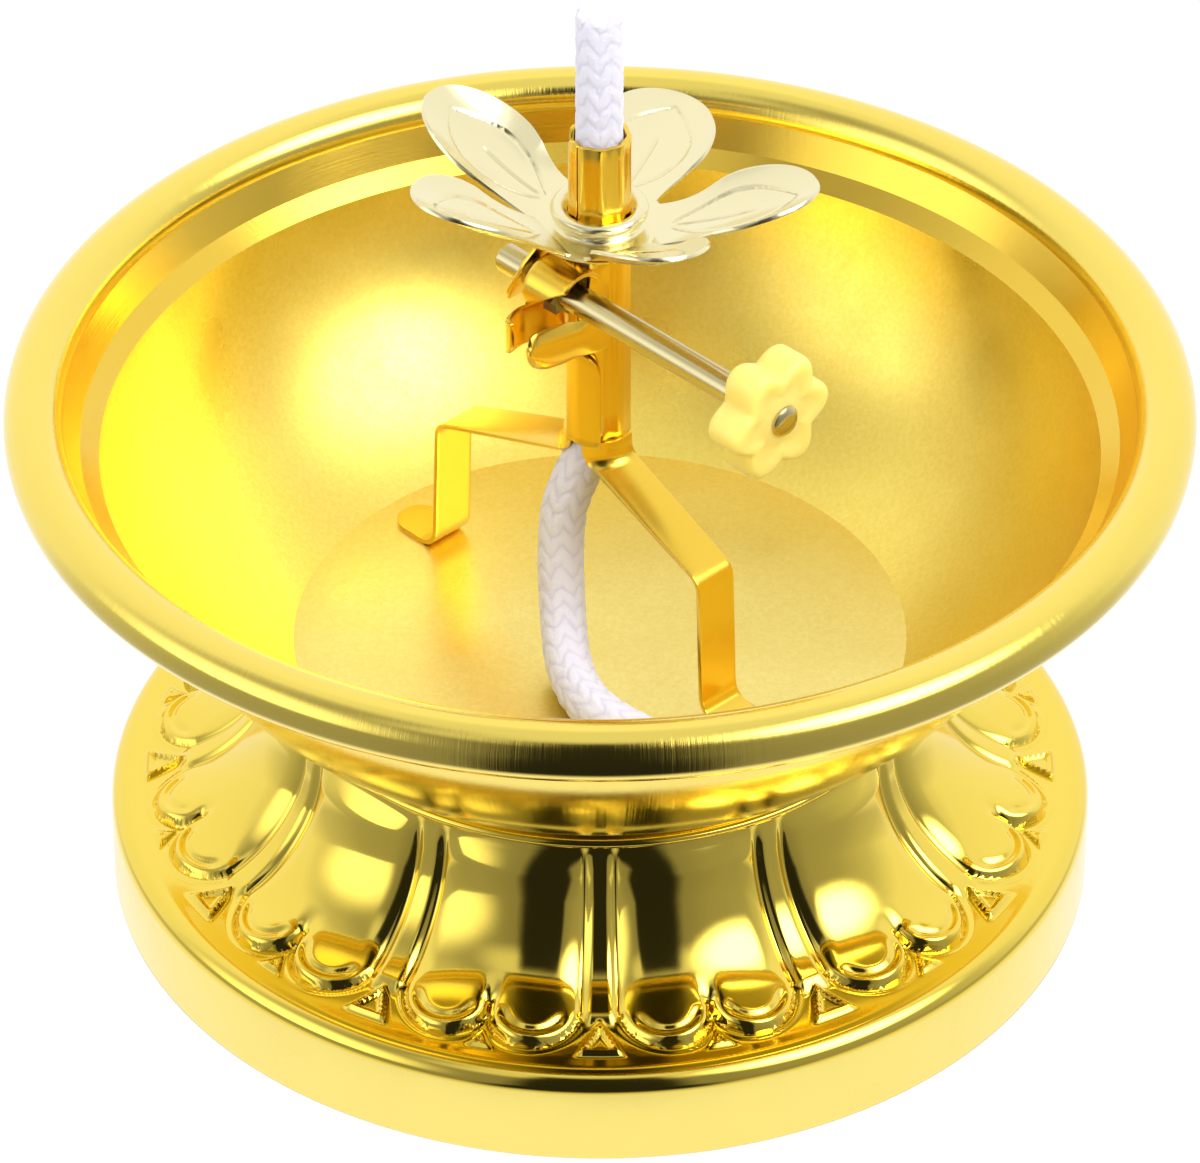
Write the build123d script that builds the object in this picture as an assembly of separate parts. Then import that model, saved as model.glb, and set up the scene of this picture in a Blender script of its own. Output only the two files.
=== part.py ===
from build123d import *
import math
import os

# Butter lamp with a wick burner that stands loose in the bowl.
# Millimetres, +Z up. The origin is the centre of the foot's lower edge, on the table.
# Azimuths are degrees from +X towards +Y, and the photographed side faces -Y.

# Brass sheet that the bowl and the foot are pressed from
sheet = 0.6

# Foot: a skirt, a shoulder, a hollow flare and a neck, closed on top by a plate
neck_radius = 27.8
neck_height = 1.7
neck_round = 1.0
flare_radius = 12.2
flange_width = 0.55
shoulder_round = 1.7
skirt_height = 7.0

# Lotus relief on the flare: panels with two lobes each, ribs and tips between them
lotus_petals = 12
lotus_first_angle = -75.0
panel_span_angle = 24.5
panel_relief = 1.0
panel_axis_shift = 14.0
panel_drop = 0.9
lobe_inset = 4.0
lobe_length = 2.9
rib_width = 1.2
rib_relief = 0.45
rib_end_inset = 4.3
rib_tip_width = 4.0
lobe_tip_width = 2.6
lobe_tip_length = 2.4
tip_margin = 0.6
relief_root = 0.3

# Bowl: a spun cup with a stepped lip, its edge rolled outward into a closed bead
floor_radius = 26.2
cup_depth = 20.1
cup_round = 31.0
ledge_width = 1.55
ledge_rise = 1.3
band_width = 1.35
band_rise = 2.5
bead_radius = 2.5
rim_diameter = 100.0

# Plain cones that each turned round is made of
flare_steps = 4
shoulder_steps = 2
cup_steps = 4
bead_steps = 12

# Wick and the burner tube round it
wick_radius = 2.1
wick_clearance = 0.15
wick_rise = 12.2
wick_bottom_drop = 0.7
wick_chamfer = 0.6
tube_wall = 0.4
tube_lift = 20.7
tube_length = 29.6
burner_x = -0.05
burner_y = 1.2
burner_turn_angle = -46.0

# Burner legs: two bent strips that spring from the tube and end in feet on the bowl floor
leg_width = 4.0
leg_side_offset = 0.9
leg_root_overlap = 1.6
leg_root_drop = 1.4
leg_slope_drop = 5.6
leg_reach_front = 15.0
leg_reach_back = 16.8
leg_splay = 0.5
leg_foot_length = 4.3
leg_bend = 0.8
leg_foot_round = 1.5

# Tube seam and the lap over it
seam_width = 0.25
lap_start_angle = -110.0
lap_span_angle = 68.0
lap_height = 9.2

# Feed: spindle, star wheel and knob, turning across the tube
spindle_radius = 1.05
spindle_clearance = 0.07
spindle_lift = 16.1
spindle_back = 6.9
knob_reach = 22.4
knob_thickness = 3.6
spindle_head_radius = 1.35
spindle_head_length = 0.5
wheel_radius = 2.05
wheel_root_radius = 1.5
wheel_teeth = 8
wheel_thickness = 1.5
wheel_gap = 0.15
window_side_gap = 0.4
window_height = 4.0
knob_radius = 5.5
knob_lobes = 6
knob_valley_radius = 1.5
knob_valley_depth = 1.3
knob_lobe_round = 0.9

# Ears folded out of the tube: a hood and two cheeks carry the spindle, two claws stand below
hood_gap = 0.2
hood_front = 2.4
hood_back = 2.0
hood_start_angle = 30.0
hood_curl_angle = 185.0
hood_cut_front = 1.7
hood_cut_back = 1.3
cheek_reach = 2.4
cheek_above = 3.3
cheek_below = 1.9
cheek_slant = 1.5
claw_gap = 1.4
claw_height = 3.5
claw_reach = 6.4
claw_tilt_angle = 8.0
claw_round = 1.6
claw_side = 1.5
claw_lip = 1.6

# Flower collar: a flanged sleeve pushed on the tube and five petals, each bent up by its own amount
collar_sheet = 0.35
collar_clearance = 1.75
hub_radius = 5.8
hub_rise = 1.7
hub_flare_width = 0.75
hub_flare_rise = 0.65
hub_lip_width = 0.6
hub_lip_drop = 0.4
petal_turn_angles = [-5.3, 67.8, 142.2, 208.0, 291.2]
petal_rise_angles = [19.2, 5.5, 25.4, 31.0, 30.0]
petal_root_radius = 4.2
petal_root_half_width = 3.1
petal_root_step = 0.12
petal_length = 14.6
petal_half_width = 4.7
petal_belly = 7.9
petal_sag = 0.75
petal_cup_radius = 7.2
petal_bends = 3

# Free end of the wick: plan and rise over the bowl floor where it hangs, plan where it lies
tail_hang = [(-2.9, 0.4, 15.1), (-3.4, -0.6, 9.4), (-2.9, -3.4, 4.4)]
tail_lie = [(-1.6, -8.6), (0.8, -14.2), (5.6, -19.0), (12.0, -20.4), (16.6, -17.2)]
tail_clearance = 0.1
tail_sides = 8
tail_bend_share = 0.45

# Heights and radii that follow from the sizes above
flange_z = skirt_height + shoulder_round
flare_center = (neck_radius + flare_radius, flange_z + flare_radius)
flange_radius = flare_center[0]
shoulder_radius = flange_radius + flange_width
base_radius = shoulder_radius + shoulder_round
foot_height = flange_z + flare_radius + neck_height
floor_z = foot_height + sheet
crease_radius = rim_diameter / 2 - 2 * bead_radius
crease_z = floor_z + cup_depth + ledge_rise + band_rise
tube_inner = wick_radius + wick_clearance
tube_outer = tube_inner + tube_wall
tube_bottom_z = floor_z + tube_lift
tube_top_z = tube_bottom_z + tube_length
wick_top_z = tube_top_z + wick_rise
wick_bottom_z = tube_bottom_z - wick_bottom_drop
spindle_offset = wick_radius + wheel_gap + wheel_radius
spindle_z = tube_bottom_z + spindle_lift
hood_inner = wheel_radius + hood_gap
hood_outer = hood_inner + tube_wall
collar_z = spindle_z + hood_outer + collar_clearance
burner_place = Location((burner_x, burner_y, 0), (0, 0, burner_turn_angle))


def polar(radius, degrees):
    """Point of the plan at a radius and an azimuth."""
    return (radius * math.cos(math.radians(degrees)), radius * math.sin(math.radians(degrees)))


def spun(outline, axis=Axis.Z):
    """Solid turned from a closed face drawn as radius across and height up."""
    return revolve(Plane.XZ * outline, axis)


def facet(curve, steps):
    """Points at even steps along a curve, so that what is turned from it is a few plain cones."""
    return [curve @ (index / steps) for index in range(steps + 1)]


def bent_sheet(points, thickness):
    """Face of a sheet bent along straight runs, its thickness to the right of the line."""
    line = [Vector(*point) for point in points]
    runs = [(after - before).normalized() for before, after in zip(line, line[1:])]
    sides = [Vector(run.Y, -run.X) for run in runs]
    parallel = [line[0] + sides[0] * thickness]
    for corner, first, second in zip(line[1:], sides, sides[1:]):
        parallel.append(corner + (first + second) * (thickness / (1 + first.dot(second))))
    parallel.append(line[-1] + sides[-1] * thickness)
    return make_face(Polyline(*line, *reversed(parallel), close=True))


def strip(path, thickness, side=Side.RIGHT):
    """Face of a sheet of the given thickness on one side of a line with round bends."""
    return make_face(offset(path, thickness, kind=Kind.INTERSECTION, side=side))


def upright(face, low, high):
    """Plan face raised between two heights."""
    return Pos(0, 0, low) * extrude(face, high - low)


def across(face, start, end):
    """Face drawn as sideways across and height up, extruded along the spindle."""
    return Pos(start, 0, 0) * extrude(Plane.YZ * face, end - start)


def flare_points(relief):
    """Quarter round of the flare, raised by a relief, from the neck down to the flange."""
    return facet(CenterArc(flare_center, flare_radius - relief, 180, 90), flare_steps)


def flare_body(relief, top_z, inner_radius):
    """Closed outline between an inner radius and the flare raised by a relief."""
    outline = Polyline(
        *flare_points(relief),
        (flange_radius, 0),
        (inner_radius, 0),
        (inner_radius, top_z),
        (neck_radius + relief, top_z),
        close=True,
    )
    return make_face(outline)


def foot_sheet():
    """Foot pressed from one sheet, open below."""
    neck = [
        (0, foot_height),
        (neck_radius - neck_round, foot_height),
        (neck_radius, foot_height - neck_round),
    ]
    shoulder = CenterArc((shoulder_radius, skirt_height), shoulder_round, 90, -90)
    line = neck + flare_points(0) + facet(shoulder, shoulder_steps) + [(base_radius, 0)]
    return spun(bent_sheet(line, sheet))


def lotus_panel():
    """One lotus petal about +X: a bulged panel that ends in two round lobes."""
    half = panel_span_angle / 2
    edge_radius = flange_radius - lobe_inset
    crest_radius = edge_radius + lobe_length
    start_radius = neck_radius - relief_root
    outline = Line(polar(start_radius, -half), polar(edge_radius, -half))
    for middle in (-half / 2, half / 2):
        outline += ThreePointArc(
            polar(edge_radius, middle - half / 2),
            polar(crest_radius, middle),
            polar(edge_radius, middle + half / 2),
        )
    outline += Polyline(polar(edge_radius, half), polar(start_radius, half), polar(start_radius, -half))
    top_z = foot_height - panel_drop
    prism = upright(make_face(outline), 0, top_z)
    bulge_axis = Axis((panel_axis_shift, 0, 0), (0, 0, 1))
    bulge = spun(flare_body(panel_relief, top_z, panel_axis_shift), bulge_axis)
    core = spun(flare_body(-relief_root, foot_height, 0))
    return (bulge & prism) - core


def lotus_ribs():
    """Ribs between the petals with arrow tips, and the small tips between the lobes."""
    start_radius = neck_radius - relief_root
    tip_radius = flange_radius - tip_margin
    neck_end = flange_radius - rib_end_inset
    rib = make_face(
        Polyline(
            (start_radius, -rib_width / 2),
            (neck_end, -rib_width / 2),
            (tip_radius, -rib_tip_width / 2),
            (tip_radius, rib_tip_width / 2),
            (neck_end, rib_width / 2),
            (start_radius, rib_width / 2),
            close=True,
        )
    )
    tip = make_face(
        Polyline(
            (tip_radius - lobe_tip_length, 0),
            (tip_radius, -lobe_tip_width / 2),
            (tip_radius, lobe_tip_width / 2),
            close=True,
        )
    )
    top_z = foot_height - panel_drop
    skin = spun(flare_body(rib_relief, top_z, 0)) - spun(flare_body(-relief_root, foot_height, 0))
    return [skin & upright(face, 0, top_z) for face in (rib, tip)]


def make_foot():
    """Foot sheet with the whole lotus relief raised on its flare."""
    pitch = 360 / lotus_petals
    panel = lotus_panel()
    rib, tip = lotus_ribs()
    relief = []
    for index in range(lotus_petals):
        azimuth = lotus_first_angle + index * pitch
        relief.append(Rot(0, 0, azimuth) * panel)
        relief.append(Rot(0, 0, azimuth) * tip)
        relief.append(Rot(0, 0, azimuth - pitch / 2) * rib)
    return foot_sheet().fuse(*relief)


def make_bowl():
    """Bowl spun from one sheet: floor, round wall, ledge, steep band and rolled bead."""
    ledge_top = (crease_radius - band_width, crease_z - band_rise)
    wall_top = (ledge_top[0] - ledge_width, ledge_top[1] - ledge_rise)
    wall = RadiusArc((floor_radius, floor_z), wall_top, -cup_round)
    line = [(0, floor_z)] + facet(wall, cup_steps) + [ledge_top, (crease_radius, crease_z)]
    bead = Pos(crease_radius + bead_radius, crease_z) * RegularPolygon(bead_radius, bead_steps)
    return spun(bent_sheet(line, sheet) + bead)


def make_leg(reach):
    """Bent strip along +X: a root on the tube, a sloping arm, an upright shank and a foot."""
    root_z = tube_bottom_z - leg_root_drop
    floor_top = floor_z + tube_wall
    line = FilletPolyline(
        (tube_outer, tube_bottom_z + leg_root_overlap),
        (tube_outer, root_z),
        (reach, root_z - leg_slope_drop),
        (reach + leg_splay, floor_top),
        (reach + leg_splay + leg_foot_length, floor_top),
        radius=leg_bend,
    )
    side = leg_width / 2 - leg_side_offset
    leg = Pos(0, side, 0) * extrude(Plane.XZ * strip(line, tube_wall), leg_width)
    foot_end = leg.faces().sort_by(Axis.X)[-1]
    return fillet(foot_end.edges().filter_by(Axis.Z), leg_foot_round)


def make_hood():
    """Curled hood over the star wheel, cut away on a slant towards the knob."""
    arc = CenterArc((-spindle_offset, spindle_z), hood_outer, hood_start_angle, hood_curl_angle)
    hood = across(strip(arc, tube_wall, Side.LEFT), -hood_back, hood_front)
    low_z = spindle_z - hood_outer
    slant = make_face(
        Polyline(
            (-hood_back, low_z),
            (hood_front, low_z),
            (hood_front, spindle_z + hood_cut_front),
            (-hood_back, spindle_z - hood_cut_back),
            close=True,
        )
    )
    return hood - Pos(0, -spindle_offset, 0) * extrude(Plane.XZ * slant, 2 * hood_outer)


def make_cheek(start):
    """Plate square to the spindle, from the tube out past it, with a slanted outer edge."""
    outer_y = -spindle_offset - cheek_reach
    face = make_face(
        Polyline(
            (-tube_wall, spindle_z - cheek_below),
            (-tube_wall, spindle_z + cheek_above),
            (outer_y + cheek_slant, spindle_z + cheek_above),
            (outer_y, spindle_z - cheek_below),
            close=True,
        )
    )
    return across(face, start, start + tube_wall)


def make_claw(start, end_width):
    """Lower ear: a plate that rises outward to a rounded end, which may be turned in across it."""
    length = tube_outer + claw_reach
    middle_z = spindle_z - wheel_radius - claw_gap - claw_height / 2
    slope = Pos(0, middle_z) * Rot(0, 0, -claw_tilt_angle)
    plate = slope * RectangleRounded(2 * length, claw_height, claw_round)
    arm = slope * Pos(-length / 2, 0) * Rectangle(length, claw_height)
    end = slope * Pos(tube_wall / 2 - length, 0) * Rectangle(tube_wall, claw_height)
    return across(plate & arm, start, start + tube_wall) + across(plate & end, start, start + end_width)


def make_stand():
    """Burner stand folded from one sheet: tube, seam, legs, hood, cheeks and claws."""
    tube = upright(Circle(tube_outer) - Circle(tube_inner), tube_bottom_z, tube_top_z)
    window_width = wheel_thickness + 2 * window_side_gap
    tube -= Pos(0, -tube_outer, spindle_z) * Box(window_width, 2 * tube_outer, window_height)
    seam_face = Pos(0, -tube_outer) * Rectangle(seam_width, 2 * tube_outer)
    tube -= upright(seam_face, spindle_z, tube_top_z)
    lap_ring = Circle(tube_outer + tube_wall) - Circle(tube_outer - tube_wall / 2)
    lap_far = 2 * (tube_outer + tube_wall)
    lap_corners = [polar(lap_far, lap_start_angle), polar(lap_far, lap_start_angle + lap_span_angle)]
    lap_wedge = make_face(Polyline((0, 0), *lap_corners, close=True))
    stand = tube.fuse(
        upright(lap_ring & lap_wedge, tube_bottom_z, tube_bottom_z + lap_height),
        make_hood(),
        make_cheek(-tube_outer),
        make_cheek(hood_front - tube_wall),
        make_claw(claw_side, tube_wall),
        make_claw(-claw_side - tube_wall, claw_lip),
        make_leg(leg_reach_front),
        mirror(make_leg(leg_reach_back), Plane.YZ),
    )
    bore = upright(Circle(tube_inner), tube_bottom_z, tube_top_z)
    spindle_hole = spindle_rod(spindle_radius + spindle_clearance, -spindle_back, knob_reach)
    return burner_place * (stand - bore - spindle_hole)


def spindle_rod(radius, start, end):
    """Round rod on the spindle's axis between two places along it."""
    return across(Pos(-spindle_offset, spindle_z) * Circle(radius), start, end)


def make_spindle():
    """Feed spindle with a peened head over the knob."""
    knob_end = knob_reach + knob_thickness
    head = spindle_rod(spindle_head_radius, knob_end, knob_end + spindle_head_length)
    head = chamfer(head.faces().sort_by(Axis.X)[-1].edges(), spindle_head_length / 2)
    return burner_place * (spindle_rod(spindle_radius, -spindle_back, knob_end) + head)


def make_wheel():
    """Star wheel whose teeth drive the wick through the window in the tube."""
    points = []
    for index in range(wheel_teeth):
        azimuth = index * 360 / wheel_teeth
        points.append(polar(wheel_radius, azimuth))
        points.append(polar(wheel_root_radius, azimuth + 180 / wheel_teeth))
    star = make_face(Polyline(*points, close=True)) - Circle(spindle_radius)
    star = Pos(-spindle_offset, spindle_z) * star
    return burner_place * across(star, -wheel_thickness / 2, wheel_thickness / 2)


def make_knob():
    """Lobed finger knob pressed on the spindle."""
    face = Circle(knob_radius)
    valley_ring = knob_radius - knob_valley_depth + knob_valley_radius
    for index in range(knob_lobes):
        valley = polar(valley_ring, index * 360 / knob_lobes)
        face -= Pos(*valley) * Circle(knob_valley_radius)
    face = fillet(face.vertices(), knob_lobe_round)
    face = Pos(-spindle_offset, spindle_z) * (face - Circle(spindle_radius))
    return burner_place * across(face, knob_reach, knob_reach + knob_thickness)


def make_collar_petal():
    """One flat-lying collar petal along +X: a leaf cut from a sheet that sags and is cupped."""
    taper = petal_length - petal_belly
    tip = EllipticalCenterArc((petal_belly, 0), taper, petal_half_width, start_angle=-90, arc_size=180)
    root = [(0, petal_root_half_width), (0, -petal_root_half_width)]
    sides = Polyline((petal_belly, petal_half_width), *root, (petal_belly, -petal_half_width))
    leaf = upright(make_face(tip + sides), -petal_length, petal_length)
    bend = ThreePointArc((0, 0), (petal_length / 2, -petal_sag), (petal_length, 0))
    profile = Plane.XZ * bent_sheet(facet(bend, petal_bends), collar_sheet)
    cup_axis = Axis((0, 0, petal_cup_radius), (1, 0, 0))
    half_turn = math.degrees(math.asin(petal_half_width / (petal_cup_radius - collar_sheet)))
    dish = revolve(profile.rotate(cup_axis, -half_turn), cup_axis, 2 * half_turn)
    return dish & leaf


def make_collar():
    """Flower collar: a flanged sleeve on the tube and its ring of petals."""
    flare_z = collar_z + hub_rise
    lip_radius = tube_outer + hub_flare_width
    hub_line = [
        (hub_radius, collar_z),
        (tube_outer, collar_z),
        (tube_outer, flare_z),
        (lip_radius, flare_z + hub_flare_rise),
        (lip_radius + hub_lip_width, flare_z + hub_flare_rise - hub_lip_drop),
    ]
    hub = spun(bent_sheet(hub_line, collar_sheet))
    root = Pos(petal_root_radius, 0, collar_z + collar_sheet - petal_root_step)
    petal = make_collar_petal()
    petals = []
    for turn, rise in zip(petal_turn_angles, petal_rise_angles):
        petals.append(Rot(0, 0, turn) * root * Rot(0, -rise, 0) * petal)
    return Pos(burner_x, burner_y, 0) * hub.fuse(*petals)


def make_wick():
    """Straight stretch of the wick, in the tube and above it."""
    rod = upright(Circle(wick_radius), wick_bottom_z, wick_top_z)
    rod = chamfer(rod.faces().sort_by(Axis.Z)[-1].edges(), wick_chamfer)
    return Pos(burner_x, burner_y, 0) * rod


def make_tail():
    """Free end of the wick: down from the tube, over onto the floor and towards the front."""
    lie_z = floor_z + wick_radius + tail_clearance
    points = [Vector(burner_x, burner_y, wick_bottom_z)]
    points += [Vector(x, y, floor_z + rise) for x, y, rise in tail_hang]
    points += [Vector(x, y, lie_z) for x, y in tail_lie]
    radii = []
    for before, corner, after in zip(points, points[1:], points[2:]):
        turn = math.radians((corner - before).get_angle(after - corner))
        shorter = min((corner - before).length, (after - corner).length)
        radii.append(tail_bend_share * shorter / math.tan(turn / 2))
    path = FilletPolyline(*points, radius=radii)
    section = RegularPolygon(wick_radius, tail_sides)
    return sweep(Plane(path @ 0, z_dir=path % 0) * section, path=path)


pieces = {
    "bowl": make_bowl(),
    "foot_shell": make_foot(),
    "wick_stand": make_stand(),
    "flower_collar": make_collar(),
    "spindle": make_spindle(),
    "feed_wheel": make_wheel(),
    "knob": make_knob(),
    "wick": make_wick(),
    "wick_tail": make_tail(),
}

os.makedirs("parts", exist_ok=True)
for name, solid in pieces.items():
    export_step(solid, f"parts/{name}.step")
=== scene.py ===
import math

import bmesh
import bpy
import numpy as np
from mathutils import Matrix, Vector


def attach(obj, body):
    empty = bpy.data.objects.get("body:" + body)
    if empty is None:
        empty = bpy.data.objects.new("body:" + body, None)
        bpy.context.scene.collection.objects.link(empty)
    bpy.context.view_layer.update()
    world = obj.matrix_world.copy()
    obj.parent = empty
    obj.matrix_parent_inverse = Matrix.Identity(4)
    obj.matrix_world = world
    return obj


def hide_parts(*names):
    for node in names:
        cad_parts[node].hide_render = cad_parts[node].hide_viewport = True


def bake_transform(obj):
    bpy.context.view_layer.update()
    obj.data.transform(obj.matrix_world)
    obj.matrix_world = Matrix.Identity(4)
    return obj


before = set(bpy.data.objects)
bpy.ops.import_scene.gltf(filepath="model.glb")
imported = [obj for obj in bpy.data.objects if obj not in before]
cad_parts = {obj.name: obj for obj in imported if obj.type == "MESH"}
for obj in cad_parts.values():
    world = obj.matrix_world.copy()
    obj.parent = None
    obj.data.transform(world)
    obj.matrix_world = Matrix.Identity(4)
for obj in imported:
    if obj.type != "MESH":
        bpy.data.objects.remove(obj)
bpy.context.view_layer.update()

MM = 0.001


# Foot. One brass sheet pressed over a form: plain skirt, rounded shoulder, hollow flare with a lotus relief
# and a neck with a small bead that carries the bowl. Gold plated and polished; the skirt is brushed round.
def linear(code):
    """sRGB hex colour as linear values with alpha."""
    parts = [int(code[index:index + 2], 16) / 255 for index in (1, 3, 5)]
    curve = [part / 12.92 if part <= 0.04045 else ((part + 0.055) / 1.055) ** 2.4 for part in parts]
    return (*curve, 1.0)


def add(tree, kind, inputs=None, **settings):
    """Node of a kind with its settings; an input is a value, or another node's socket."""
    made = tree.nodes.new(kind)
    for name, value in settings.items():
        setattr(made, name, value)
    for name, value in (inputs or {}).items():
        if isinstance(value, bpy.types.NodeSocket):
            tree.links.new(value, made.inputs[name])
        else:
            made.inputs[name].default_value = value
    return made


def new_material(name):
    """Material with its shader and its object coordinates, ready for a pattern."""
    material = bpy.data.materials.new(name)
    material.use_nodes = True
    tree = material.node_tree
    place = add(tree, "ShaderNodeTexCoord").outputs["Object"]
    return material, tree, tree.nodes["Principled BSDF"], place


def arc(center, radius, start, end, count):
    """Points of an arc in a profile, from one angle to another in degrees."""
    angles = np.radians(np.linspace(start, end, count))
    return [(center[0] + radius * math.cos(angle), center[1] + radius * math.sin(angle)) for angle in angles]


def line(first, last, count):
    """Even points from one profile point to another."""
    return [tuple(point) for point in np.linspace(np.array(first), np.array(last), count)]


def mesh_piece(name, points, edges=(), faces=()):
    """Object at the origin, alone selected, from points in millimetres."""
    mesh = bpy.data.meshes.new(name)
    mesh.from_pydata([tuple(MM * value for value in point) for point in points], edges, faces)
    piece = bpy.data.objects.new(name, mesh)
    bpy.context.collection.objects.link(piece)
    bpy.ops.object.select_all(action="DESELECT")
    piece.select_set(True)
    bpy.context.view_layer.objects.active = piece
    return piece


def turned(name, outline, steps):
    """Piece turned about the upright axis from an outline of (radius, height) points."""
    points = [(radius, 0, height) for radius, height in outline]
    piece = mesh_piece(name, points, [(index, index + 1) for index in range(len(points) - 1)])
    bpy.ops.object.mode_set(mode="EDIT")
    bpy.ops.mesh.select_all(action="SELECT")
    bpy.ops.mesh.spin(steps=steps, angle=2 * math.pi, center=(0, 0, 0), axis=(0, 0, 1))
    bpy.ops.mesh.select_all(action="SELECT")
    bpy.ops.mesh.remove_doubles(threshold=1e-6)
    bpy.ops.mesh.normals_make_consistent(inside=False)
    bpy.ops.object.mode_set(mode="OBJECT")
    return piece


def coordinates(piece):
    """Vertex places of a piece as rows, in millimetres."""
    values = np.empty(len(piece.data.vertices) * 3)
    piece.data.vertices.foreach_get("co", values)
    return values.reshape(-1, 3) / MM


def move_to(piece, rows):
    """Give a piece's vertices new places, in millimetres."""
    piece.data.vertices.foreach_set("co", (rows * MM).ravel())
    piece.data.update()


def ramp(value, low, high):
    """Smooth step from 0 to 1 between two values."""
    part = np.clip((value - low) / (high - low), 0, 1)
    return part * part * (3 - 2 * part)


def bell(value, middle, width):
    """Smooth bump of height 1 about a middle."""
    return np.exp(-(((value - middle) / width) ** 2))


neck_radius = 27.8
foot_height = 22.6
flare_radius = 12.2
flange_z = 8.7
shoulder_round = 1.7
base_radius = 42.25
foot_sheet = 0.6
neck_bead = 0.4
flange_radius = neck_radius + flare_radius
flare_middle = (flange_radius, flange_z + flare_radius)
skirt_z = flange_z - shoulder_round
neck_top = 21.4
hem = 0.25
lotus_petals = 12
lotus_first = -75.0
steps_per_petal = 86

outer_line = (
    [(base_radius - hem, 0), (base_radius, hem)]
    + line((base_radius, 2 * hem), (base_radius, skirt_z), 3)
    + arc((base_radius - shoulder_round, skirt_z), shoulder_round, 0, 90, 8)[1:]
    + [(flange_radius + 0.25, flange_z)]
    + arc(flare_middle, flare_radius, 270, 232, 48)
    + arc(flare_middle, flare_radius, 230, 180, 11)
    + [(neck_radius, neck_top)]
    + arc((neck_radius, foot_height - 0.05 - neck_bead), neck_bead, -90, 90, 5)
    + [(neck_radius - 0.6, foot_height), (20, foot_height), (0, foot_height)]
)
inner_line = (
    [(0, foot_height - foot_sheet), (neck_radius - 1, foot_height - foot_sheet)]
    + [(neck_radius - foot_sheet, foot_height - 1.4)]
    + arc(flare_middle, flare_radius + foot_sheet, 180, 270, 8)
    + arc((base_radius - shoulder_round, skirt_z), shoulder_round - foot_sheet, 90, 0, 3)
    + [(base_radius - foot_sheet, 0.2), (base_radius - 0.4, 0)]
)
lotus_foot = turned("lotus_foot", outer_line + inner_line + outer_line[:1], steps_per_petal * lotus_petals)

# Where each point lies on the flare: along it from the flange up, and sideways from a petal or a rib.
rows = coordinates(lotus_foot)
radius = np.hypot(rows[:, 0], rows[:, 1])
azimuth = np.degrees(np.arctan2(rows[:, 1], rows[:, 0]))
away_r = flare_middle[0] - radius
away_z = flare_middle[1] - rows[:, 2]
reach = np.maximum(np.hypot(away_r, away_z), 1e-6)
on_flare = (np.abs(reach - flare_radius) < 0.05) & (away_r >= -0.001) & (away_z >= -0.001)
on_neck = (np.abs(radius - neck_radius) < 0.01) & (away_z < 0) & (rows[:, 2] < neck_top + 0.1)
along = flare_radius * np.arctan2(away_r, away_z)
flare_length = flare_radius * math.pi / 2
along[on_neck] = flare_length - away_z[on_neck]
pitch = 360 / lotus_petals
sector = (azimuth - lotus_first + pitch / 2) % pitch - pitch / 2
side = radius * np.radians(sector)
rib_side = radius * np.radians(pitch / 2 - np.abs(sector))

# Petals: bulged panels with round edges that end in two lobes, each with a crescent pressed along its foot.
panel_half_angle = 12.25
lobe_start = 5.15
lobe_radius = 3.74
flat_height = 0.5
crown_height = 0.75
valley_depth = 0.35
crescent_depth = 0.3
lip_height = 0.16
half_panel = np.maximum(radius, 1) * math.radians(panel_half_angle)
lobe_up = along - lobe_start
lobe_out = np.hypot(np.abs(side) - lobe_radius, lobe_up)
from_notch = np.hypot(side, lobe_up)
inside = np.where(lobe_up > 0, np.minimum(half_panel - np.abs(side), from_notch), lobe_radius - lobe_out)
edge_round = 0.75 + 1.15 * ramp(lobe_up, -0.5, 2.5)
edge = np.clip(inside / edge_round, 0, 1)
crown = np.clip(1 - (side / half_panel) ** 2, 0, 1)
valley = valley_depth * bell(side, 0, 0.8) * (1 - ramp(along, 4.5, 8.0))
relief = np.sqrt(1 - (1 - edge) ** 2) * (flat_height + crown_height * crown - valley)
foot_arc = ramp(-lobe_up / np.maximum(lobe_out, 0.001), 0.05, 0.6)
relief -= crescent_depth * bell(inside, 1.15, 0.4) * foot_arc
relief += lip_height * bell(inside, -0.5, 0.22) * ramp(lobe_start - along, -1.0, 1.0)

# Between the petals: a flat rib in two narrow grooves, a triangle at its foot and a small tip between lobes.
rib_half_angle = 2.5
rib_top = 0.5
rib_edge = radius * math.radians(rib_half_angle)
rib_height = rib_top * ramp(rib_edge - rib_side, -0.2, 0.75) * ramp(along, 3.4, 5.2)
relief = np.maximum(relief, rib_height)
rib_triangle = (rib_side, 0.55, 4.6, 2.3, 0.55)
lobe_tip = (side, 0.5, 2.6, 1.5, 0.4)
for across, base, length, half_width, height in (rib_triangle, lobe_tip):
    slant = math.hypot(length, half_width)
    flank = (half_width * (1 - (along - base) / length) - np.abs(across)) * length / slant
    within = np.minimum(flank, along - base)
    relief = np.maximum(relief, height * (ramp(within, 0, 0.6) - 0.75 * ramp(within, 0.45, 1.0)))
relief *= ramp(along, 0.1, 0.5) * (1 - 0.9 * ramp(along, flare_length - 0.7, flare_length + 0.3))

shaped = on_flare | on_neck
normal_r = np.where(on_flare, away_r / reach, 1.0)
normal_z = np.where(on_flare, away_z / reach, 0.0)
outward = np.stack([rows[:, 0] / np.maximum(radius, 1e-6) * normal_r,
                    rows[:, 1] / np.maximum(radius, 1e-6) * normal_r, normal_z], axis=1)
rows[shaped] += outward[shaped] * relief[shaped][:, None]
move_to(lotus_foot, rows)
bpy.ops.object.shade_smooth_by_angle(angle=math.radians(50))


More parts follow.
